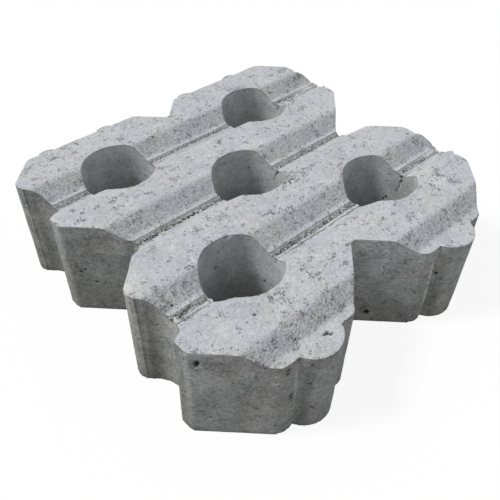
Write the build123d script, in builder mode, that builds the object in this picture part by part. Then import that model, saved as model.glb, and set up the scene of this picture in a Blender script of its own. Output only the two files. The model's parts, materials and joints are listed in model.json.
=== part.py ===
"""Grass-grid paving stone, pressed from concrete as one piece.

A square block is pierced by five round planting holes on a diagonal grid. Diamond pockets cut into
the middle of each side and off each corner, so that laid stones make the same grid across their
joints. Rounded tabs on the front and right sides lock into recesses in the back and left sides of
the next stones. The top is pressed into straight ridges, with the holes along the grooves between.

Units are millimetres. +Z is up, the ridges run along X, and the origin is on the axis of the middle
hole, in the base plane.
"""

import os
from math import atan2, degrees, sqrt

from build123d import *

# The block
side = 400.0
height = 120.0

# Ridges and grooves of the top, measured across the ridges
ridge_count = 4
groove_depth = 14.5
groove_floor_width = 18.0
groove_mouth_width = 51.0
slope_foot_radius = 6.0
slope_brow_radius = 10.0

# Rough strip along the middle of each inner groove, where two press shoes meet
strip_width = 10.0
strip_depth = 2.5

# Planting holes, and the diamond pockets that make half and quarter holes at the sides
hole_radius = 40.0
pocket_reach = 55.5
pocket_root_radius = 8.0
pocket_lip_radius = 8.0

# Tabs, and the recesses that take the next stone's tabs
tab_radius = 29.0
tab_centre_inset = 11.5
tab_clearance = 2.0

# Places that follow from the sizes above
half_side = side / 2
ridge_pitch = side / ridge_count
hole_spacing = side / 2
groove_floor_level = height - groove_depth
slope_run = (groove_mouth_width - groove_floor_width) / 2
slope_angle = degrees(atan2(groove_depth, slope_run))
ridge_foot_width = ridge_pitch - groove_floor_width
pocket_edge = pocket_reach * sqrt(2)
recess_radius = tab_radius + tab_clearance
tab_reach = tab_radius - tab_centre_inset
widest = side + 2 * tab_reach

# One pocket at each side's middle has a root inside the stone, and all have two lips on the sides
side_pocket_count = 4
corner_pocket_count = 4
lip_count = 2 * (side_pocket_count + corner_pocket_count)

with BuildPart() as paving_stone:
    # Plan: square, pockets, tabs, recesses and holes
    with BuildSketch() as plan:
        Rectangle(side, side)
        with PolarLocations(half_side, side_pocket_count):
            Rectangle(pocket_edge, pocket_edge, rotation=45, mode=Mode.SUBTRACT)
        with GridLocations(side, side, 2, 2):
            Rectangle(pocket_edge, pocket_edge, rotation=45, mode=Mode.SUBTRACT)
        pocket_roots = plan.vertices().sort_by_distance((0, 0, 0))[:side_pocket_count]
        fillet(pocket_roots, pocket_root_radius)
        pocket_lips = plan.vertices().sort_by_distance((0, 0, 0))[-lip_count:]
        fillet(pocket_lips, pocket_lip_radius)

        with Locations((0, tab_centre_inset - half_side)):
            with GridLocations(hole_spacing, 0, 2, 1):
                Circle(tab_radius)
        with Locations((half_side - tab_centre_inset, 0)):
            with GridLocations(0, hole_spacing, 1, 2):
                Circle(tab_radius)
        with Locations((0, half_side + tab_centre_inset)):
            with GridLocations(hole_spacing, 0, 2, 1):
                Circle(recess_radius, mode=Mode.SUBTRACT)
        with Locations((-half_side - tab_centre_inset, 0)):
            with GridLocations(0, hole_spacing, 1, 2):
                Circle(recess_radius, mode=Mode.SUBTRACT)

        Circle(hole_radius, mode=Mode.SUBTRACT)
        with GridLocations(hole_spacing, hole_spacing, 2, 2):
            Circle(hole_radius, mode=Mode.SUBTRACT)
    extrude(amount=height)

    # Section across the ridges: flat body, ridges with rounded slopes, strips in the inner grooves
    with BuildSketch(Plane.YZ) as section:
        Rectangle(widest, groove_floor_level, align=(Align.CENTER, Align.MIN))
        with Locations((0, groove_floor_level)):
            with GridLocations(ridge_pitch, 0, ridge_count, 1):
                Trapezoid(ridge_foot_width, groove_depth, slope_angle, align=(Align.CENTER, Align.MIN))
        slope_brows = section.vertices().group_by(Axis.Y)[-1]
        fillet(slope_brows, slope_brow_radius)
        slope_feet = section.vertices().group_by(Axis.Y)[1].sort_by(Axis.X)[1:-1]
        fillet(slope_feet, slope_foot_radius)
        with Locations((0, groove_floor_level)):
            with GridLocations(ridge_pitch, 0, ridge_count - 1, 1):
                Rectangle(strip_width, 2 * strip_depth, mode=Mode.SUBTRACT)
    extrude(amount=widest / 2, both=True, mode=Mode.INTERSECT)

paving_stone.part.label = "paving_stone"

os.makedirs("parts", exist_ok=True)
export_step(paving_stone.part, "parts/paving_stone.step")
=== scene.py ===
"""Looks of the grass-grid paving stone: one piece of pressed concrete on a white floor.

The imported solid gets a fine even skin, and the relief of real concrete is pressed into it: pits in
patches on the top, rough strips along the grooves, chipped rims, bubble holes in the walls and cracks
below the strips. Then the skin is thinned where it is smooth. Lengths are in metres, in the frame of
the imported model: the ridges run along X, and the stone lies on Z = 0.
"""

import json
from itertools import product
from math import pi, radians

import bmesh
import bpy
import numpy as np
from mathutils import Matrix, Vector
from mathutils.kdtree import KDTree


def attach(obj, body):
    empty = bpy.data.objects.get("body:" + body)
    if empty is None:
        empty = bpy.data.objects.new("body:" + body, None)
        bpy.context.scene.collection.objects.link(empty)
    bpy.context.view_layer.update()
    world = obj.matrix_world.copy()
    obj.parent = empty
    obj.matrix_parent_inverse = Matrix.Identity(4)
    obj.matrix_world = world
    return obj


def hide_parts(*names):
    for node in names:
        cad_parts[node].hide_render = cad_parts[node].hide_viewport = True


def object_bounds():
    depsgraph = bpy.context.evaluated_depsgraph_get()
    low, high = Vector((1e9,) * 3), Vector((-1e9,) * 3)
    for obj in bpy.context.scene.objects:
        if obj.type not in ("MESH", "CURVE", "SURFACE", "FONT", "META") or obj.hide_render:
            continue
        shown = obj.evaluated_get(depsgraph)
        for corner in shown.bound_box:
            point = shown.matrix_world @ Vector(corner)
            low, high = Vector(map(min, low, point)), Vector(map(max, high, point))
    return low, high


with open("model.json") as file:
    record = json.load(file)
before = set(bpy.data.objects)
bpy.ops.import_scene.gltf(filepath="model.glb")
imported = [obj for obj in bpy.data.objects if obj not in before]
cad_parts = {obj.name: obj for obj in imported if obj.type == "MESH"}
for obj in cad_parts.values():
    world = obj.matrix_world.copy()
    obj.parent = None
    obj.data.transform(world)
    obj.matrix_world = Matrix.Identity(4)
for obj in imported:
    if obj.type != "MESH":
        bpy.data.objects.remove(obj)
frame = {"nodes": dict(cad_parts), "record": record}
cad_low, cad_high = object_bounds()
scene = bpy.context.scene
stone_node = frame["nodes"]["paving_stone"]
holes = [mount for mount in frame["record"]["mounts"] if mount["kind"] == "bore"]

# Camera of the photograph
camera_eye = Vector((-0.3582, -0.3815, 0.5055))
camera_target = Vector((-0.0391, -0.0459, 0.0595))
camera_roll = radians(1.54)
camera_lens_mm = 42.87
camera_sensor_mm = 36.0

# Light: a soft lamp from the left and above, a little from behind, and an even sky
lamp_direction = Vector((-0.475, 0.36, 0.80))
lamp_angle = radians(12)
lamp_share = 0.70
sky_share = 0.43
plain_white = (1, 1, 1, 1)

# Floor: white to the camera, grey to the light, and a hair below the stone
floor_half_width = 4.0
floor_drop = 0.0003
floor_white_share = 0.9
floor_grey = (0.1, 0.1, 0.1, 1)

# Skin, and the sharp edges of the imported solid
skin_voxel = 0.001
skin_smoothing_rounds = 1
skin_triangles = 190_000
sharp_edge_angle = radians(35)
edge_sample_gap = 0.0015
weld_gap = 0.000015

# What is this far outside a hole's radius still counts as its wall
bore_margin = 0.0015

# Heights of the normals where the top begins and is full, where walls are full and end, and where the
# base begins and is full
top_starts = 0.3
top_full = 0.6
wall_full = 0.15
wall_ends = 0.3
base_starts = -0.5
base_full = -0.9

# Front slopes, which get painted shade: how far the normals lean to the front where a slope begins and is
# full. The floor behind a strip counts as half a slope, and comes in and goes out at these offsets from the
# strip's row.
slope_starts = 0.15
slope_full = 0.6
floor_behind_share = 0.5
floor_behind_starts = (0.0058, 0.0072)
floor_behind_ends = (0.016, 0.012)

# Waves of the whole surface
wave_grain = 0.03
wave_depth = 0.0002

# Pits of the top, in patches, with most of them on the slopes
patch_grain = 0.03
pit_grain = 0.003
pit_depth = 0.0014
pit_threshold = 1.8
pit_range = 1.2
pit_patch_gain = 0.65
pit_slope_gain = 0.28

# Patches with more or fewer pits than the noise gives: place in plan, radius and gain
pit_patches = (
    ((0.034, -0.038), 0.030, 1.9),
    ((-0.100, -0.163), 0.030, 1.1),
    ((0.012, -0.137), 0.020, 0.9),
    ((-0.062, -0.137), 0.020, 0.6),
    ((0.162, -0.162), 0.020, 0.7),
    ((0.088, -0.062), 0.020, 0.7),
    ((-0.170, 0.152), 0.040, 1.0),
    ((-0.012, 0.163), 0.022, 1.3),
    ((0.016, -0.046), 0.020, 0.6),
    ((0.003, -0.087), 0.020, -0.8),
    ((0.041, 0.017), 0.020, -0.5),
    ((-0.038, 0.149), 0.020, -0.5),
    ((0.180, -0.085), 0.035, -1.0),
    ((0.120, -0.187), 0.030, -0.6),
    ((0.137, 0.112), 0.030, -0.7),
    ((0.010, 0.112), 0.030, -0.5),
    ((-0.062, 0.112), 0.025, -0.7),
    ((-0.150, 0.110), 0.025, -0.7),
    ((-0.150, 0.012), 0.025, -0.6),
    ((0.088, -0.137), 0.020, -0.7),
    ((-0.012, -0.130), 0.030, -0.6),
)

# Rough strips along the rows of holes, in the bottom of the grooves: a smooth fill that falls towards
# the front, gravel along its front border, then a thin burr with a painted highlight and a thin line with
# painted shadow
groove_floor = 0.1055
strip_half_width = 0.005
strip_reach = 0.010
strip_back_rise = 0.0021
strip_pit_grain = 0.0020
strip_pit_depth = 0.0022
strip_pit_stretch = (0.6, 1, 1)
strip_grain_height = 0.0007
pebble_grain = 0.007
pebble_height = 0.0016
pebble_share = 0.04
burr_offset = -0.0047
burr_half_width = 0.0022
burr_height = 0.0010
burr_grain = 0.03
burr_wander = 0.0005
burr_wander_grain = 0.008
line_offset = -0.0068
line_half_width = 0.0010
line_depth = 0.0009

# In shares of a strip's half width: where its floor fades at its sides, where the fill rises, how far
# behind the front border the gravel fades, and how soft that border is
strip_side_shares = (1.1, 0.9)
strip_rise_shares = (-0.6, 1.2)
gravel_fade_shares = (1.4, 0.95)
border_soft_share = 0.15

# Where the strips' noises begin and fill a pit, a grain and the burr, and a pebble's edge in grains
strip_pit_steps = (0.2, 0.8)
strip_grain_steps = (0.2, 0.9)
burr_steps = (-1.2, 0.4)
pebble_steps = (0.45, 0.2)

# From the front row to the back row: how clear the burr is, how clear the gravel is on the left and on
# the right, and where the strip's front border lies at its left end and further right, in shares of the
# strip's half width. The strip is filled up in front of that border.
burr_shares = (1.0, 0.25, 0.15)
gravel_shares = ((0.85, 0.85), (1.3, 0.7), (0.5, 0.5))
strip_front_shares = ((-0.5, -0.7), (-0.8, -0.95), (-0.75, -0.35))

# Places along X between which left turns into right, and how deep below the groove's floor a strip goes
gravel_turn = (-0.1, 0.05)
border_turn = (-0.15, -0.11)
ledge_reach = 0.00275

# Right end of the strips: gravel and ledge fade beyond it and the burr before it, and a smooth fill
# closes the strip from before it to beyond it, up to a height and between shares of its half width
strip_end = 0.185
gravel_end_fade = 0.01
burr_end_fade = 0.02
closing_before = 0.03
closing_beyond = 0.02
closing_height = 0.0024
closing_shares = (-0.6, 0.2)

# How pale pebbles and grains are, how bright the burr's painted highlight is, how dark the pits' painted
# shade is, and how far a pebble hides the strip
pebble_pale_share = 0.3
strip_grain_pale_share = 0.25
burr_highlight_share = 0.3
strip_pit_shade_share = 0.75
pebble_cover_share = 0.5

# Chipped edges
chip_reach = 0.003
chip_grain = 0.004
chip_depth = 0.0012
chip_threshold = 0.7
chip_range = 1.5

# Pale rim of the top, worn and with a painted highlight, painted shade along the brow of the walls where
# they are high enough, and a painted shadow line at their foot
rim_width = 0.0014
brow_width = 0.0022
brow_flat_share = 0.2
brow_level = 0.1
foot_line_height = 0.0035

# Back edge of the top, worn down from this place to the stone's side
half_side = 0.2
back_wear_start = 0.188
back_wear_depth = 0.0012

# Flats to the left of the front tabs: they bulge towards the base, a seam of the mould leans across
# them with a painted highlight, and the necks between flat and tab get painted shade and some dirt
front_starts = -0.19
front_leans = (0.4, 0.8)
tab_centres = (-0.1, 0.1)
bulge_offset = -0.0335
bulge_half_width = 0.011
bulge_flat_share = 0.2
bulge_height = 0.0005
bulge_foot_heights = (0.0016, 0.0024)
bulge_foot_reach = 0.07
seam_top_offsets = (-0.0290, -0.0338)
seam_foot_offsets = (-0.0240, -0.0266)
seam_top = 0.105
seam_half_width = 0.0022
seam_flat_share = 0.3
seam_height = 0.0012
seam_shares = (0.35, 1.0)
seam_start_shares = (0.1, 0.3)
seam_end_shares = (0.95, 0.75)
neck_offset = -0.0215
neck_half_width = 0.007
neck_shade_share = 0.5

# Corners where the walls get painted shade from top to base: place in plan, radius and how dark
shaded_corners = (
    ((0.2000, -0.1255), 0.012, 1.5),
    ((-0.1920, -0.0775), 0.015, 0.8),
    ((-0.2000, -0.1350), 0.012, 1.2),
)

# Bubble holes seen in the photograph: place, radius and depth. Then how far from its place a hole
# reaches, how ragged and how flat it is, in shares of its radius, and the depth at which a hollow's painted
# shade is full.
bubbles = (
    ((-0.1943, -0.1502, 0.1064), 0.0032, 0.0044),
    ((-0.1948, -0.1497, 0.1026), 0.0022, 0.0034),
    ((0.0215, -0.1660, 0.0148), 0.0038, 0.0046),
    ((-0.0943, -0.1977, 0.1055), 0.0016, 0.0030),
    ((-0.0923, -0.1982, 0.1055), 0.0020, 0.0030),
    ((-0.0903, -0.1986, 0.1055), 0.0018, 0.0030),
    ((-0.0900, -0.2006, 0.1055), 0.0018, 0.0030),
    ((-0.0882, -0.2014, 0.1055), 0.0013, 0.0024),
    ((-0.1155, -0.2130, 0.0315), 0.0022, 0.0020),
    ((-0.1202, -0.2092, 0.0689), 0.0017, 0.0016),
    ((-0.1318, -0.2000, 0.0545), 0.0032, 0.0016),
    ((-0.1312, -0.2000, 0.0490), 0.0028, 0.0016),
    ((-0.1382, -0.2000, 0.0975), 0.0030, 0.0014),
    ((-0.1388, -0.2000, 0.0920), 0.0032, 0.0016),
    ((-0.1319, -0.1511, 0.1200), 0.0020, 0.0018),
    ((-0.0609, -0.0915, 0.0613), 0.0018, 0.0018),
    ((-0.1721, -0.0887, 0.1075), 0.0018, 0.0018),
    ((-0.0377, 0.1240, 0.1185), 0.0018, 0.0014),
    ((-0.0397, 0.1256, 0.1185), 0.0014, 0.0012),
    ((-0.0359, 0.1226, 0.1185), 0.0014, 0.0012),
    ((0.0754, -0.2038, 0.0671), 0.0024, 0.0026),
    ((-0.0988, -0.0600, 0.0830), 0.0036, 0.0008),
    ((0.1387, -0.0900, 0.0650), 0.0022, 0.0020),
    ((0.1378, -0.0870, 0.0614), 0.0018, 0.0016),
    ((-0.1877, 0.0432, 0.0614), 0.0018, 0.0018),
    ((-0.1914, 0.0469, 0.0577), 0.0020, 0.0018),
    ((-0.1810, 0.0365, 0.0435), 0.0020, 0.0020),
)
bubble_reach_share = 2
bubble_raggedness = 0.15
bubble_flat_share = 0.3
hollow_shade_depth = 0.0014

# Nibbles in the rim of a hole and in the end of a tab: place, radius and depth. Those in the rim are
# smaller than this radius, and they get painted shade.
nibbles = (
    ((-0.0858, -0.0626, 0.1194), 0.0050, 0.0026),
    ((-0.0870, -0.0622, 0.1190), 0.0034, 0.0030),
    ((0.2170, -0.1000, 0.1045), 0.0120, 0.0040),
)
rim_nibble_radius = 0.006
nibble_flat_share = 0.2
nibble_shade_share = 0.6

# Rounded edges of the recesses in the left and back sides: their middles and half width along the
# side, how far the rounding reaches and how deep it is, and its shares into the side and along it.
# On the left only the far edge of each recess is rounded.
recess_middles = (-0.1, 0.1)
recess_half_width = 0.0288
recess_round_reach = 0.0090
recess_round_depth = 0.0024
recess_round_shares = (0.83, 0.56)

# More bubble holes, scattered over the walls, half as large to half as large again
wall_bubble_grain = 0.016
wall_bubble_radius = 0.0013
wall_bubble_depth = 0.0012
wall_bubble_share = 0.35
wall_bubble_least_share = 0.5

# Cracks in the right-hand side of the holes, down from the strips: hole, length and depth
cracks = (
    ("back_right_hole", 0.014, 0.0024),
    ("middle_hole", 0.022, 0.0030),
    ("front_right_hole", 0.030, 0.0040),
    ("front_left_hole", 0.010, 0.0016),
)
crack_half_width = 0.0012
crack_lean = 0.2
crack_start = -0.0045
crack_wander = 0.0012
crack_wander_grain = 0.006

# A crack keeps to this share of the hole's radius, begins this share of its length above the groove's
# floor, has a flat bottom and never gets narrower than the last share
crack_reach_share = 0.25
crack_above_share = 0.1
crack_flat_share = 0.2
crack_least_share = 0.3

# Worn tips of two ridges on the left, with a warmer colour: place and how warm
warm_tips = (
    ((-0.1975, -0.0560, 0.1190), 0.9),
    ((-0.1990, 0.0660, 0.1190), 0.3),
)
warm_tip_radius = 0.015

# Darker patches on a pocket's wall, painted shade near its foot, and on a hole's wall: place, radius and
# how dark
dark_patches = (
    ((0.0350, -0.1795, 0.0150), 0.065, 0.46),
    ((0.1392, -0.1077, 0.0865), 0.035, 0.60),
)

# Painted shade that darkens the walls towards the base and, outside, towards the back left
wall_shade_side_direction = Vector((-0.7, 0.7, 0))
wall_shade_side_starts = -0.14
wall_shade_side_ends = 0.22
wall_shade_foot_height = 0.1
wall_shade_side_share = 0.57
wall_shade_foot_share = 0.28
wall_shade_bore_share = 0.6

# The skin stays fine where a strip, a seam, a hollow or something pale is clearer than this
fine_strip_share = 0.1
fine_seam_share = 0.05
fine_hollow_depth = 0.0003
fine_pebble_share = 0.05

# Colours
top_cool = (0.51, 0.535, 0.57, 1)
top_warm = (0.54, 0.548, 0.56, 1)
# Painted shade of the front slopes and of the floor behind each strip
slope_shade = (0.25, 0.255, 0.26, 1)
bore_cool = (0.498, 0.534, 0.549, 1)
bore_brown = (0.518, 0.530, 0.529, 1)
wall_cool = (0.537, 0.561, 0.566, 1)
wall_brown = (0.556, 0.561, 0.551, 1)
# Painted shade of the walls
wall_shade_dark = (0.26, 0.265, 0.25, 1)
# Painted shade of pits, specks, pores, gravel, brows, feet and hollows, and the dark of scratches
shade_and_scratch_dark = (0.035, 0.035, 0.035, 1)
strip_grey = (0.325, 0.33, 0.335, 1)
# Painted highlight along the top's worn edges
rim_highlight = (0.66, 0.67, 0.67, 1)
# Pale pebbles and grains, and painted highlight on the burr and on the mould seams
pale_stone_and_highlight = (0.95, 0.95, 0.93, 1)
tip_warm = (0.69, 0.67, 0.64, 1)
grain_pale = (0.76, 0.77, 0.78, 1)

# Noises of the material: humps to a metre, layers of finer noise, and how strong those are
cloud_noise = (24, 4, 0.5)
mottle_noise = (45, 6, 0.64)
grit_noise = (260, 3, 0.6)
sand_noise = (480, 2, 0.6)
worm_noise = (300, 2, 0.5)
scratch_noise = (130, 3, 0.6)
cluster_noise = (120, 3, 0.6)
stone_noise = (480, 1, 0.5)
noise_middle = 0.5

# Cells with specks and grains, and cells with pores, to a metre
speck_scale = 330
pore_scale = 150

# How much flatter the marks on the walls lie than on the top
level_stretch = 1.2
scratch_stretch = 1.8

# How far each noise moves the tone, on the walls and on the top
mottle_swings = (1.7, 0.5)
grit_swings = (1.2, 0.45)
sand_swings = (1.1, 0.7)
slope_sand_swing = 0.8
bore_calm = 0.6

# Where the noises begin and fill a mark
tint_steps = (0.4, 0.6)
scratch_steps = (0.58, 0.66)
scuff_steps = (0.4, 0.32)
stone_pale_steps = (0.52, 0.62)
stone_shade_steps = (0.5, 0.4)

# Worm-like pits follow the middle of a noise, in clusters, with gaps: their edge, the clusters' limit
# where the top is least and most pitted, the clusters' edge, and the gaps' edge
# The worm-like pits get painted shade
worm_steps = (0.07, 0.015)
cluster_limits = (0.65, 0.53)
cluster_range = 0.07
worm_gap_steps = (0.4, 0.5)

# Specks, grains and pores: how ragged they are, their edges in cells, and the share of cells that have
# one. Specks become more from where the top begins to be pitted.
dot_raggedness = 0.9
dot_steps = (0.4, 0.25)
pore_steps = (0.22, 0.1)
grain_share = 0.12
pore_share = 0.18
bore_pore_share = 0.4
speck_starts = 0.1
speck_shares = (0.01, 0.15)

# How pale the marks are. Grains differ on the walls and on the top.
rim_highlight_share = 0.3
grain_pale_shares = (0.12, 0.5)
scuff_pale_share = 0.14
stone_pale_share = 0.5

# How dark the marks are: painted shade on the front slopes and in pits, specks, gravel, pores, brows,
# feet and hollows, and the scratches' own dark
slope_shade_share = 0.1
worm_shade_share = 0.6
speck_shade_share = 0.4
stone_shade_share = 0.85
pore_shade_share = 0.5
scratch_dark_share = 0.14
shade_dark_share = 0.5
hollow_shade_share = 0.92

# Heights of the grains and pits that are too small for the skin; grains on the walls and on the top
sand_bumps = (0.0003, 0.0009)
grit_bumps = (0.0004, 0.0009)
stone_bump = 0.0020
worm_bump = -0.0010
speck_bump = -0.0008

# Gloss
gloss_steps = (0.3, 0.7)
roughness_range = (0.82, 0.95)
specular_level = 0.25

# Noise
table_size = 65_536
cell_strides = np.array((73_856_093, 19_349_663, 83_492_791), dtype=np.int64)
noise_spread = 0.27
roughness_share = 0.7


def smooth_step(low, high, values):
    """0 below low, 1 above high, and a smooth rise between."""
    share = np.clip((values - low) / (high - low), 0, 1)
    return share * share * (3 - 2 * share)


def table_places(cells):
    """A place in a random table for each cell of space."""
    return (cells * cell_strides).sum(axis=1) % table_size


def smooth_noise(points, grain, seed):
    """Noise with a spread of about 1, whose humps and hollows are about one grain across."""
    directions = np.random.default_rng(seed).normal(size=(table_size, 3))
    directions /= np.linalg.norm(directions, axis=1, keepdims=True)
    scaled = points / grain
    cells = np.floor(scaled).astype(np.int64)
    inside = scaled - cells
    fade = inside**3 * (inside * (inside * 6 - 15) + 10)
    total = np.zeros(len(points))
    for corner in product((0, 1), repeat=3):
        weight = np.prod(np.where(corner, fade, 1 - fade), axis=1)
        slope = directions[table_places(cells + corner)]
        total += weight * np.einsum("ij,ij->i", slope, inside - corner)
    return total / noise_spread


def rough_noise(points, grain, seed, octaves=3):
    """Noise with a spread of about 1, with finer noise on its coarsest grain."""
    total = np.zeros(len(points))
    weights = [roughness_share**octave for octave in range(octaves)]
    for octave, weight in enumerate(weights):
        total += weight * smooth_noise(points, grain / 2**octave, seed + octave)
    return total / np.linalg.norm(weights)


def nearest_seeds(points, grain, seed):
    """Distance to the nearest of seeds scattered one to a cell, and a random share for that seed."""
    draw = np.random.default_rng(seed)
    places = draw.random((table_size, 3))
    shares = draw.random(table_size)
    scaled = points / grain
    cells = np.floor(scaled).astype(np.int64)
    nearest = np.full(len(points), np.inf)
    share = np.zeros(len(points))
    for step in product((-1, 0, 1), repeat=3):
        index = table_places(cells + step)
        gap = np.linalg.norm(cells + step + places[index] - scaled, axis=1)
        closer = gap < nearest
        nearest[closer] = gap[closer]
        share[closer] = shares[index[closer]]
    return nearest * grain, share


def vectors_of(items, name):
    """The named three-number property of mesh items as an array."""
    values = np.empty(len(items) * 3, dtype=np.float32)
    items.foreach_get(name, values)
    return values.reshape(-1, 3).astype(float)


def evaluated_mesh(piece):
    """A new mesh with the piece's modifiers applied."""
    graph = bpy.context.evaluated_depsgraph_get()
    return bpy.data.meshes.new_from_object(piece.evaluated_get(graph))


def apply_modifiers(piece):
    """Puts the modifiers' result in place of the piece's mesh."""
    made = evaluated_mesh(piece)
    piece.modifiers.clear()
    old = piece.data
    piece.data = made
    bpy.data.meshes.remove(old)


def even_skin():
    """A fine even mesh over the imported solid, with its edges a little rounded."""
    skin = bpy.data.objects.new("paving_stone_concrete", stone_node.data.copy())
    scene.collection.objects.link(skin)
    remesh = skin.modifiers.new("even", "REMESH")
    remesh.mode = "VOXEL"
    remesh.voxel_size = skin_voxel
    smooth = skin.modifiers.new("rounded", "SMOOTH")
    smooth.iterations = skin_smoothing_rounds
    apply_modifiers(skin)
    return skin


def edge_tree():
    """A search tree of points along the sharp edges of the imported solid."""
    solid = bmesh.new()
    solid.from_mesh(stone_node.data)
    bmesh.ops.remove_doubles(solid, verts=solid.verts, dist=weld_gap)
    samples = []
    for edge in solid.edges:
        if edge.is_manifold and edge.calc_face_angle() > sharp_edge_angle:
            start, end = (vertex.co for vertex in edge.verts)
            count = int(edge.calc_length() / edge_sample_gap) + 1
            samples += [start.lerp(end, step / count) for step in range(count)]
    solid.free()
    tree = KDTree(len(samples))
    for index, sample in enumerate(samples):
        tree.insert(sample, index)
    tree.balance()
    return tree


def edge_gaps(points):
    """Distance of each point from the nearest sharp edge."""
    tree = edge_tree()
    return np.array([tree.find(point)[2] for point in points])


def strip_rows():
    """The places of the strips across the ridges, from front to back."""
    return sorted({round(hole["pos_m"][1], 4) for hole in holes})


def slope_share(points, normals):
    """How much of a front slope each place of the top is, with the floor behind a strip as half one."""
    share = smooth_step(slope_starts, slope_full, -normals[:, 1])
    for row in strip_rows():
        behind = points[:, 1] - row
        floor = smooth_step(*floor_behind_starts, behind) * smooth_step(*floor_behind_ends, behind)
        share = np.maximum(share, floor_behind_share * floor)
    return share


def pit_field(points, normals, top):
    """How deep the pits of the top go, and how pitted each place is."""
    pitted = np.zeros(len(points))
    depth = np.zeros(len(points))
    there = top > 0
    spot = points[there]
    patches = rough_noise(spot, patch_grain, seed=11)
    pitted[there] = pit_patch_gain * patches + pit_slope_gain * slope_share(spot, normals[there])
    for place, radius, gain in pit_patches:
        gap = np.hypot(spot[:, 0] - place[0], spot[:, 1] - place[1])
        pitted[there] += gain * smooth_step(radius, 0, gap)
    field = rough_noise(spot, pit_grain, seed=21) + pitted[there]
    depth[there] = pit_depth * smooth_step(pit_threshold, pit_threshold + pit_range, field)
    return depth * top, np.clip(0.5 + pitted / 2, 0, 1) * top


def strip_ledge(along, across, borders):
    """How far a strip is filled up, as it is in front of its front border, and where that border lies."""
    left, right = borders
    border = left + (right - left) * smooth_step(*border_turn, along)
    return smooth_step(border + border_soft_share, border - border_soft_share, across), border


def ledge_lift(points):
    """How far the points of a strip rise where it is filled up to the groove's floor."""
    lift = np.zeros(len(points))
    below = groove_floor - points[:, 2]
    sunk = (below > 0) & (below < ledge_reach)
    for row, borders in zip(strip_rows(), strip_front_shares):
        across = (points[:, 1] - row) / strip_half_width
        inside = sunk & (np.abs(across) < max(strip_side_shares))
        along = points[inside, 0]
        ledge, _ = strip_ledge(along, across[inside], borders)
        lift[inside] = ledge * below[inside] * smooth_step(strip_end + gravel_end_fade, strip_end, along)
    return lift


def strip_field(points, normals):
    """Height of the fill in the strips, how much of a strip each place is, its pale pebbles and grains with
    painted highlight on its burr, painted shade in its pits and line, and its gravel.
    """
    rise, strip, pale_marks, pits, loose = np.zeros((5, len(points)))
    fade_share, full_share = gravel_fade_shares
    strips = zip(strip_rows(), burr_shares, gravel_shares, strip_front_shares)
    for row, burr_share, (gravel_left, gravel_right), borders in strips:
        near = np.abs(points[:, 1] - row) < strip_reach
        near &= points[:, 2] > groove_floor - strip_reach
        near &= points[:, 2] < groove_floor + burr_height
        near &= normals[:, 2] > top_starts
        spot = points[near]
        along = spot[:, 0]
        offset = spot[:, 1] - row
        across = offset / strip_half_width
        ledge, border = strip_ledge(along, across, borders)
        floor = smooth_step(*strip_side_shares, np.abs(across)) * (1 - ledge)

        # Gravel at the front border, with pits, grains and a few pebbles
        front = gravel_left + (gravel_right - gravel_left) * smooth_step(*gravel_turn, along)
        front *= smooth_step(border + fade_share, border + full_share, across)
        front *= smooth_step(strip_end + gravel_end_fade, strip_end, along)
        gravel = rough_noise(spot * strip_pit_stretch, strip_pit_grain, seed=31)
        gap, kind = nearest_seeds(spot, pebble_grain, seed=32)
        pebble = smooth_step(*pebble_steps, gap / pebble_grain) * (kind < pebble_share)
        pit = smooth_step(*strip_pit_steps, gravel) * front * (1 - pebble)
        grains = smooth_step(*strip_grain_steps, -gravel) * front

        # Fill, which rises to the back and closes the strip's end
        fill = strip_back_rise * smooth_step(*strip_rise_shares, across)
        fill += pebble_height * pebble + strip_grain_height * grains - strip_pit_depth * pit
        closed = smooth_step(strip_end - closing_before, strip_end + closing_beyond, along)
        closed *= smooth_step(*closing_shares, across)
        fill = np.maximum(fill, closed * closing_height)

        # Burr and line in front of the strip, with painted highlight on the burr and painted shadow in the
        # line
        clear = burr_share * smooth_step(*burr_steps, smooth_noise(spot, burr_grain, seed=33))
        clear *= smooth_step(strip_end, strip_end - burr_end_fade, along)
        wander = burr_wander * smooth_noise(spot, burr_wander_grain, seed=34)
        burr = smooth_step(1, 0, np.abs(offset - burr_offset + wander) / burr_half_width)
        line = smooth_step(1, 0, np.abs(offset - line_offset + wander) / line_half_width)

        rise[near] = floor * fill + (1 - floor) * clear * (burr * burr_height - line * line_depth)
        strip[near] = floor * (1 - pebble_cover_share * pebble) * (1 - closed)
        pale_stones = floor * np.maximum(pebble_pale_share * pebble, strip_grain_pale_share * grains)
        # Painted highlight on the burr
        pale_marks[near] = np.maximum(pale_stones, burr_highlight_share * clear * burr * (1 - floor))
        # Painted shade in the gravel's pits and in the line
        pits[near] = np.maximum(strip_pit_shade_share * floor * pit, clear * line * (1 - floor))
        loose[near] = floor * front
    return rise, strip, pale_marks, pits, loose


def bubble_field(points, wall):
    """Depth of the bubble holes: those seen in the photograph, and small ones over the walls."""
    depth = np.zeros(len(points))
    there = wall > 0
    gap, kind = nearest_seeds(points[there], wall_bubble_grain, seed=41)
    radius = wall_bubble_radius * (wall_bubble_least_share + kind / wall_bubble_share)
    kept = wall[there] * (kind < wall_bubble_share)
    depth[there] = wall_bubble_depth * smooth_step(1, bubble_flat_share, gap / radius) * kept
    for place, radius, deepest in bubbles:
        gap = np.linalg.norm(points - place, axis=1)
        near = gap < bubble_reach_share * radius
        ragged = 1 + bubble_raggedness * smooth_noise(points[near], radius, seed=42)
        bubble = deepest * smooth_step(1, bubble_flat_share, gap[near] * ragged / radius)
        depth[near] = np.maximum(depth[near], bubble)
    return depth


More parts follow.
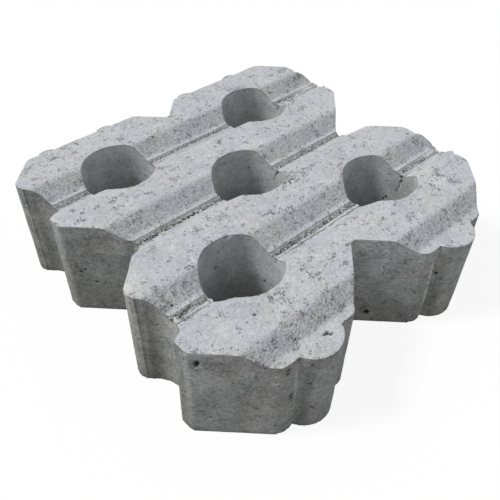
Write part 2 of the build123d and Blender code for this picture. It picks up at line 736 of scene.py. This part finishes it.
def crack_field(points, wall):
    """Depth of the cracks that run down the walls of the holes."""
    depth = np.zeros(len(points))
    wander = crack_wander * smooth_noise(points, crack_wander_grain, seed=51)
    places = {hole["name"]: hole for hole in holes}
    for name, length, deepest in cracks:
        centre = places[name]["pos_m"]
        radius = places[name]["dims"]["r_mm"] / 1000
        beyond = points - (centre[0] + radius, centre[1], groove_floor)
        below = -beyond[:, 2] / length
        gap = np.abs(beyond[:, 1] - crack_start + crack_lean * beyond[:, 2] + wander)
        beside = np.abs(beyond[:, 0]) < crack_reach_share * radius
        beside &= (below > -crack_above_share) & (below < 1)
        taper = np.sqrt(np.clip(1 - below, 0, 1))
        half_width = crack_half_width * np.maximum(taper, crack_least_share)
        share = smooth_step(1, crack_flat_share, gap / half_width)
        depth = np.maximum(depth, deepest * share * taper * beside * wall)
    return depth


def neck_field(points, normals):
    """Height of bulges and seams by the front tabs, painted highlight of the seams, painted shade of necks
    and corners.
    """
    rise, seam_highlights, neck_and_corner_shade = np.zeros((3, len(points)))
    front = points[:, 1] < front_starts
    flat = smooth_step(*front_leans, -normals[:, 1]) * front
    foot = smooth_step(bulge_foot_reach, 0, points[:, 2])
    lean = points[:, 2] / seam_top
    shown = smooth_step(*seam_start_shares, lean) * smooth_step(*seam_end_shares, lean)
    sides = zip(tab_centres, bulge_foot_heights, seam_top_offsets, seam_foot_offsets, seam_shares)
    for centre, foot_height, seam_top_offset, seam_foot_offset, seam_share in sides:
        across = points[:, 0] - centre
        bulge_gap = np.abs(across - bulge_offset) / bulge_half_width
        bulge = smooth_step(1, bulge_flat_share, bulge_gap) * flat
        seam_offset = seam_foot_offset + (seam_top_offset - seam_foot_offset) * lean
        seam_gap = np.abs(across - seam_offset) / seam_half_width
        seam = smooth_step(1, seam_flat_share, seam_gap) * flat * (shown * seam_share)
        rise += bulge * (bulge_height + foot_height * foot) + seam * seam_height
        seam_highlights += seam
        neck_and_corner_shade += smooth_step(1, 0, np.abs(across - neck_offset) / neck_half_width) * front
    for place, radius, share in shaded_corners:
        beside = np.hypot(points[:, 0] - place[0], points[:, 1] - place[1])
        neck_and_corner_shade += share * smooth_step(radius, 0, beside)
    return rise, seam_highlights, neck_and_corner_shade


def chip_field(points, gaps, top):
    """Depth of the chips along the edges, nibbles and worn back edge, and how nibbled the rim is."""
    noise = rough_noise(points, chip_grain, seed=61)
    chips = chip_depth * smooth_step(chip_threshold, chip_threshold + chip_range, noise)
    chips *= smooth_step(1, 0, gaps / chip_reach)
    nibbled = np.zeros(len(points))
    for place, radius, deepest in nibbles:
        gap = np.linalg.norm(points - place, axis=1)
        nibble = smooth_step(1, nibble_flat_share, gap / radius)
        chips = np.maximum(chips, deepest * nibble)
        nibbled = np.maximum(nibbled, nibble * (radius < rim_nibble_radius))
    chips += back_wear_depth * smooth_step(back_wear_start, half_side, points[:, 1]) * top
    return chips, nibbled


def recess_shift(points):
    """How the points move where the edges of the recesses in the left and back sides are rounded."""
    shift = np.zeros(points.shape)
    inward, along = recess_round_shares
    for middle, end in product(recess_middles, (-1, 1)):
        place = middle + end * recess_half_width
        edges = [((place, half_side), (end * along, -inward, 0))]
        if end > 0:
            edges.append(((-half_side, place), (inward, end * along, 0)))
        for edge, direction in edges:
            gap = np.hypot(points[:, 0] - edge[0], points[:, 1] - edge[1])
            depth = recess_round_depth * smooth_step(recess_round_reach, 0, gap)
            shift += depth[:, None] * np.array(direction)
    return shift


def in_holes(points):
    """Which points are on the walls of the holes."""
    inside = np.zeros(len(points), dtype=bool)
    for hole in holes:
        reach = hole["dims"]["r_mm"] / 1000 + bore_margin
        inside |= np.hypot(points[:, 0] - hole["pos_m"][0], points[:, 1] - hole["pos_m"][1]) < reach
    return inside


def wall_shade_field(points, neck_and_corner_shade):
    """How much painted shade darkens the walls, from 0 to 1."""
    along = points @ np.array(wall_shade_side_direction)
    inside = in_holes(points)
    side = wall_shade_side_share * smooth_step(wall_shade_side_starts, wall_shade_side_ends, along) * ~inside
    foot = smooth_step(wall_shade_foot_height, 0, points[:, 2])
    foot *= np.where(inside, wall_shade_bore_share, wall_shade_foot_share)
    wall_shade = side + foot + neck_shade_share * neck_and_corner_shade
    for place, radius, share in dark_patches:
        wall_shade += share * smooth_step(radius, 0, np.linalg.norm(points - place, axis=1))
    return np.clip(wall_shade, 0, 1)


def warm_field(points):
    """How warm the colour is, at the tips that are worn."""
    warm = np.zeros(len(points))
    for place, share in warm_tips:
        gap = np.linalg.norm(points - place, axis=1)
        warm = np.maximum(warm, share * smooth_step(warm_tip_radius, 0, gap))
    return warm


def press_relief(skin):
    """Moves the skin's points along their normals and keeps what the colours need to know of them."""
    mesh = skin.data
    points = vectors_of(mesh.vertices, "co")
    normals = vectors_of(mesh.vertex_normals, "vector")
    top = smooth_step(top_starts, top_full, normals[:, 2])
    wall = 1 - smooth_step(wall_full, wall_ends, np.abs(normals[:, 2]))
    base = smooth_step(base_starts, base_full, normals[:, 2])
    gaps = edge_gaps(points)

    waves = wave_depth * smooth_noise(points, wave_grain, seed=1)
    rise, strip, pale_marks, strip_pits, gravel = strip_field(points, normals)
    pits, pitted = pit_field(points, normals, top)
    pits *= 1 - strip
    bulge, seam_highlights, neck_and_corner_shade = neck_field(points, normals)
    hollows = np.maximum(bubble_field(points, wall), crack_field(points, wall))
    chips, nibbled = chip_field(points, gaps, top)

    relief = np.minimum(waves - wave_depth, 0) - pits - hollows - chips + rise + bulge
    moved = points + normals * (relief * (1 - base))[:, None] + recess_shift(points)
    moved[:, 2] += ledge_lift(points)
    mesh.vertices.foreach_set("co", moved.astype(np.float32).ravel())
    mesh.update()

    high = points[:, 2] > brow_level
    brow = smooth_step(1, brow_flat_share, gaps / brow_width) * high
    foot_line = smooth_step(foot_line_height, 0, points[:, 2])
    # Painted shade in pits, bubbles, cracks, the strips' pits and line, and nibbles in the rim, by depth
    hollow = pits / pit_depth + hollows / hollow_shade_depth + strip_pits + nibble_shade_share * nibbled
    shares = {
        "top": top,
        "bore": in_holes(points),
        "pitted": pitted,
        # Front slopes and the floor behind each strip, which get painted shade and more sand
        "slope": slope_share(points, normals) * top * (1 - strip),
        "hollow": np.clip(hollow, 0, 1),
        "wall_shade": wall_shade_field(points, neck_and_corner_shade) * wall,
        "strip": strip,
        # Pale pebbles and grains, with painted highlight on the burr and the mould seams
        "pale": np.maximum(pale_marks, seam_highlights),
        "warm": warm_field(points),
        "gravel": gravel,
        # Pale rim along the top's sharp edges: wear with a painted highlight
        "rim": smooth_step(1, 0, gaps / rim_width) * top,
        # Painted shade under the walls' brows and along their foot
        "shade": np.maximum(brow, foot_line) * wall,
    }
    for name, values in shares.items():
        layer = mesh.attributes.new(name, "FLOAT", "POINT")
        layer.data.foreach_set("value", values.astype(np.float32))
    fine = (strip > fine_strip_share) | (seam_highlights > fine_seam_share)
    fine |= (hollows > fine_hollow_depth) | (pale_marks > fine_pebble_share)
    fine |= (gaps < brow_width) & high
    skin.vertex_groups.new(name="fine").add(np.flatnonzero(fine).tolist(), 1.0, "REPLACE")


def keep_inside(mesh):
    """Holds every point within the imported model's box."""
    points = np.clip(vectors_of(mesh.vertices, "co"), np.array(cad_low), np.array(cad_high))
    mesh.vertices.foreach_set("co", points.astype(np.float32).ravel())
    mesh.update()


def thin_skin(skin):
    """Thins the skin to its share of triangles, most where it is smooth."""
    mesh = skin.data
    mesh.calc_loop_triangles()
    thin = skin.modifiers.new("thin", "DECIMATE")
    thin.ratio = min(1, skin_triangles / len(mesh.loop_triangles))
    thin.use_collapse_triangulate = True
    thin.vertex_group = "fine"
    thin.invert_vertex_group = True
    apply_modifiers(skin)
    keep_inside(skin.data)
    skin.data.shade_smooth()


def add_node(tree, kind, inputs=None, **settings):
    """A new shader node with its settings made and its inputs set or linked."""
    node = tree.nodes.new("ShaderNode" + kind)
    for name, value in settings.items():
        setattr(node, name, value)
    for name, value in (inputs or {}).items():
        if isinstance(value, bpy.types.NodeSocket):
            tree.links.new(value, node.inputs[name])
        else:
            node.inputs[name].default_value = value
    return node


def calculate(tree, operation, first, second):
    """A sum, product or the like of two sockets or numbers."""
    return add_node(tree, "Math", {0: first, 1: second}, operation=operation).outputs[0]


def spread(tree, value, low, high, to_low=0.0, to_high=1.0):
    """A socket that rises smoothly from to_low to to_high while value goes from low to high."""
    inputs = {"Value": value, "From Min": low, "From Max": high, "To Min": to_low, "To Max": to_high}
    return add_node(tree, "MapRange", inputs, interpolation_type="SMOOTHSTEP").outputs[0]


def blend_colours(tree, share, first, second):
    """A colour socket that goes from first to second as share goes from 0 to 1."""
    # The colours are inputs 6 and 7 of the node, and their blend is output 2
    inputs = {0: share, 6: first, 7: second}
    return add_node(tree, "Mix", inputs, data_type="RGBA").outputs[2]


def noise_socket(tree, place, scale, detail, roughness):
    """A noise socket of about so many humps to a metre."""
    inputs = {"Vector": place, "Scale": scale, "Detail": detail, "Roughness": roughness}
    return add_node(tree, "TexNoise", inputs).outputs["Fac"]


def attribute_socket(tree, name):
    """A number kept at the skin's points."""
    return add_node(tree, "Attribute", attribute_name=name).outputs["Fac"]


def product_of(tree, *factors):
    """The product of sockets or numbers."""
    total = factors[0]
    for factor in factors[1:]:
        total = calculate(tree, "MULTIPLY", total, factor)
    return total


def swing(tree, noise, amount):
    """How far a noise socket is from its middle, times an amount."""
    return product_of(tree, calculate(tree, "SUBTRACT", noise, noise_middle), amount)


def total_of(tree, *terms):
    """The sum of sockets or numbers."""
    total = terms[0]
    for term in terms[1:]:
        total = calculate(tree, "ADD", total, term)
    return total


def concrete_material():
    """Concrete with a pale pressed top, mottled walls, painted shade in its pits, pale grains and pale rims
    with painted highlight.
    """
    material = bpy.data.materials.new("concrete")
    material.use_nodes = True
    tree = material.node_tree
    shader = tree.nodes["Principled BSDF"]
    place = add_node(tree, "TexCoord").outputs["Object"]
    level = add_node(tree, "Mapping", {"Vector": place, "Scale": (1, 1, level_stretch)}).outputs[0]
    flat = add_node(tree, "Mapping", {"Vector": place, "Scale": (1, 1, scratch_stretch)}).outputs[0]
    names = ("top", "bore", "pitted", "slope", "hollow", "wall_shade", "strip")
    top, bore, pitted, slope, hollow, wall_shade, strip = (attribute_socket(tree, name) for name in names)
    names = ("gravel", "pale", "warm", "rim", "shade")
    gravel, pale, warm, rim, shade = (attribute_socket(tree, name) for name in names)
    upright = spread(tree, top, 0, 1, 1.0, 0.0)

    clouds = noise_socket(tree, place, *cloud_noise)
    mottle = noise_socket(tree, level, *mottle_noise)
    grit = noise_socket(tree, level, *grit_noise)
    sand = noise_socket(tree, place, *sand_noise)
    worms = noise_socket(tree, place, *worm_noise)
    scratches = noise_socket(tree, flat, *scratch_noise)
    clusters = noise_socket(tree, place, *cluster_noise)
    stones = noise_socket(tree, place, *stone_noise)
    cells = add_node(tree, "TexVoronoi", {"Vector": place, "Scale": speck_scale}).outputs
    kinds = add_node(tree, "SeparateColor", {"Color": cells["Color"]}).outputs
    pores = add_node(tree, "TexVoronoi", {"Vector": level, "Scale": pore_scale}).outputs
    pore_kinds = add_node(tree, "SeparateColor", {"Color": pores["Color"]}).outputs

    # Marks: specks and grains, pores, scratches and scuffs, stones of the gravel, worm-like pits. The dark
    # of specks, pores, gravel and pits is painted shade.
    ragged = swing(tree, sand, dot_raggedness)
    dot = spread(tree, total_of(tree, cells["Distance"], ragged), *dot_steps)
    grain = product_of(tree, dot, calculate(tree, "GREATER_THAN", kinds["Green"], 1 - grain_share))
    few = spread(tree, pitted, speck_starts, 1, *speck_shares)
    speck = product_of(tree, dot, calculate(tree, "LESS_THAN", kinds["Red"], few))
    pore = spread(tree, total_of(tree, pores["Distance"], ragged), *pore_steps)
    pore = product_of(tree, pore, calculate(tree, "LESS_THAN", pore_kinds["Red"], pore_share))
    pore = product_of(tree, pore, upright, spread(tree, bore, 0, 1, 1.0, bore_pore_share))
    scratch = product_of(tree, spread(tree, scratches, *scratch_steps), upright)
    scuff = product_of(tree, spread(tree, scratches, *scuff_steps), upright)
    stone_pale = product_of(tree, spread(tree, stones, *stone_pale_steps), gravel)
    stone_shade = product_of(tree, spread(tree, stones, *stone_shade_steps), gravel)
    away = calculate(tree, "ABSOLUTE", calculate(tree, "SUBTRACT", worms, noise_middle), 0)
    cluster_limit = spread(tree, pitted, 0, 1, *cluster_limits)
    clustered = spread(tree, calculate(tree, "SUBTRACT", clusters, cluster_limit), 0, cluster_range)
    broken = spread(tree, sand, *worm_gap_steps)
    worm = product_of(tree, spread(tree, away, *worm_steps), clustered, broken)

    # Plain colours, and what lies on them
    tint = spread(tree, clouds, *tint_steps)
    top_colour = blend_colours(tree, tint, top_cool, top_warm)
    wall_colour = blend_colours(tree, tint, wall_cool, wall_brown)
    bore_colour = blend_colours(tree, tint, bore_cool, bore_brown)
    wall_colour = blend_colours(tree, bore, wall_colour, bore_colour)
    # Painted shade on the walls: towards the base and the back left, in the necks with some dirt, in
    # corners and in darker patches
    colour = blend_colours(tree, wall_shade, wall_colour, wall_shade_dark)
    covers = (
        (top, top_colour),
        # Painted shade on the front slopes and on the floor behind each strip
        (product_of(tree, slope, slope_shade_share), slope_shade),
        (strip, strip_grey),
        # Painted highlight along the top's rims
        (product_of(tree, rim, rim_highlight_share), rim_highlight),
        # Pale pebbles and grains, and painted highlight on the burr and the mould seams
        (pale, pale_stone_and_highlight),
        (warm, tip_warm),
        (product_of(tree, grain, spread(tree, top, 0, 1, *grain_pale_shares)), grain_pale),
        (product_of(tree, scuff, scuff_pale_share), grain_pale),
        (product_of(tree, stone_pale, stone_pale_share), grain_pale),
    )
    for share, paint in covers:
        colour = blend_colours(tree, share, colour, paint)

    # Painted shade in pits, specks, pores, gravel, brows, feet and hollows, and the dark of scratches
    darks = (
        (worm, worm_shade_share),
        (speck, speck_shade_share),
        (stone_shade, stone_shade_share),
        (pore, pore_shade_share),
        (scratch, scratch_dark_share),
        (shade, shade_dark_share),
        (hollow, hollow_shade_share),
    )
    dark = 0.0
    for mark, share in darks:
        dark = calculate(tree, "MAXIMUM", dark, product_of(tree, mark, share))
    colour = blend_colours(tree, dark, colour, shade_and_scratch_dark)

    swings = total_of(
        tree,
        swing(tree, mottle, spread(tree, top, 0, 1, *mottle_swings)),
        swing(tree, grit, spread(tree, top, 0, 1, *grit_swings)),
        swing(tree, sand, spread(tree, top, 0, 1, *sand_swings)),
        swing(tree, sand, product_of(tree, slope, slope_sand_swing)),
    )
    calm = spread(tree, bore, 0, 1, 1.0, bore_calm)
    tone = total_of(tree, product_of(tree, swings, calm), 1.0)
    toned = add_node(tree, "VectorMath", {0: colour, 1: tone}, operation="MULTIPLY").outputs[0]
    tree.links.new(toned, shader.inputs["Base Color"])

    height = total_of(
        tree,
        product_of(tree, sand, spread(tree, top, 0, 1, *sand_bumps)),
        product_of(tree, grit, spread(tree, top, 0, 1, *grit_bumps)),
        product_of(tree, stones, gravel, stone_bump),
        product_of(tree, worm, worm_bump),
        product_of(tree, speck, speck_bump),
        product_of(tree, pore, speck_bump),
    )
    bump = add_node(tree, "Bump", {"Height": height, "Strength": 1.0, "Distance": 1.0})
    tree.links.new(bump.outputs[0], shader.inputs["Normal"])
    tree.links.new(spread(tree, mottle, *gloss_steps, *roughness_range), shader.inputs["Roughness"])
    shader.inputs["Specular IOR Level"].default_value = specular_level
    return material


def seen_directly(tree):
    """1 for what the camera sees, also in a mirror or through glass, and 0 for light on a surface."""
    paths = add_node(tree, "LightPath").outputs
    seen = calculate(tree, "MAXIMUM", paths["Is Camera Ray"], paths["Is Glossy Ray"])
    return calculate(tree, "MAXIMUM", seen, paths["Is Transmission Ray"])


def add_floor():
    """A plain floor, white to the camera, that keeps the stone's soft shadow."""
    mesh = bpy.data.meshes.new("floor")
    corners = [(x, y, -floor_drop) for x, y in ((-1, -1), (1, -1), (1, 1), (-1, 1))]
    corners = [(x * floor_half_width, y * floor_half_width, z) for x, y, z in corners]
    mesh.from_pydata(corners, [], [(0, 1, 2, 3)])
    floor = bpy.data.objects.new("floor", mesh)
    scene.collection.objects.link(floor)
    material = bpy.data.materials.new("floor")
    material.use_nodes = True
    tree = material.node_tree
    tree.nodes.clear()
    grey = add_node(tree, "BsdfDiffuse", {"Color": floor_grey}).outputs[0]
    white = add_node(tree, "BsdfDiffuse", {"Color": plain_white}).outputs[0]
    glow = add_node(tree, "Emission", {"Strength": 1.0}).outputs[0]
    shown = add_node(tree, "MixShader", {0: floor_white_share, 1: white, 2: glow}).outputs[0]
    whole = add_node(tree, "MixShader", {0: seen_directly(tree), 1: grey, 2: shown}).outputs[0]
    add_node(tree, "OutputMaterial", {"Surface": whole})
    mesh.materials.append(material)


def add_light():
    """A soft lamp and an even sky that looks white."""
    lamp_data = bpy.data.lights.new("soft_lamp", "SUN")
    lamp_data.energy = lamp_share * pi
    lamp_data.angle = lamp_angle
    lamp = bpy.data.objects.new("soft_lamp", lamp_data)
    lamp.rotation_mode = "QUATERNION"
    lamp.rotation_quaternion = lamp_direction.to_track_quat("Z", "Y")
    scene.collection.objects.link(lamp)
    world = bpy.data.worlds.new("sky")
    world.use_nodes = True
    tree = world.node_tree
    strength = spread(tree, seen_directly(tree), 0, 1, sky_share, 1.0)
    background = tree.nodes["Background"]
    background.inputs["Color"].default_value = plain_white
    tree.links.new(strength, background.inputs["Strength"])
    scene.world = world


def add_camera():
    """The photograph's camera."""
    data = bpy.data.cameras.new("camera")
    data.lens = camera_lens_mm
    data.sensor_width = camera_sensor_mm
    camera = bpy.data.objects.new("camera", data)
    look = (camera_target - camera_eye).to_track_quat("-Z", "Y").to_matrix().to_4x4()
    camera.matrix_world = Matrix.Translation(camera_eye) @ look @ Matrix.Rotation(camera_roll, 4, "Z")
    scene.collection.objects.link(camera)
    scene.camera = camera


scene.view_settings.view_transform = "Standard"
add_camera()
add_light()
add_floor()

stone = even_skin()
press_relief(stone)
thin_skin(stone)
stone.data.materials.clear()
stone.data.materials.append(concrete_material())
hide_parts("paving_stone")
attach(stone, "root")
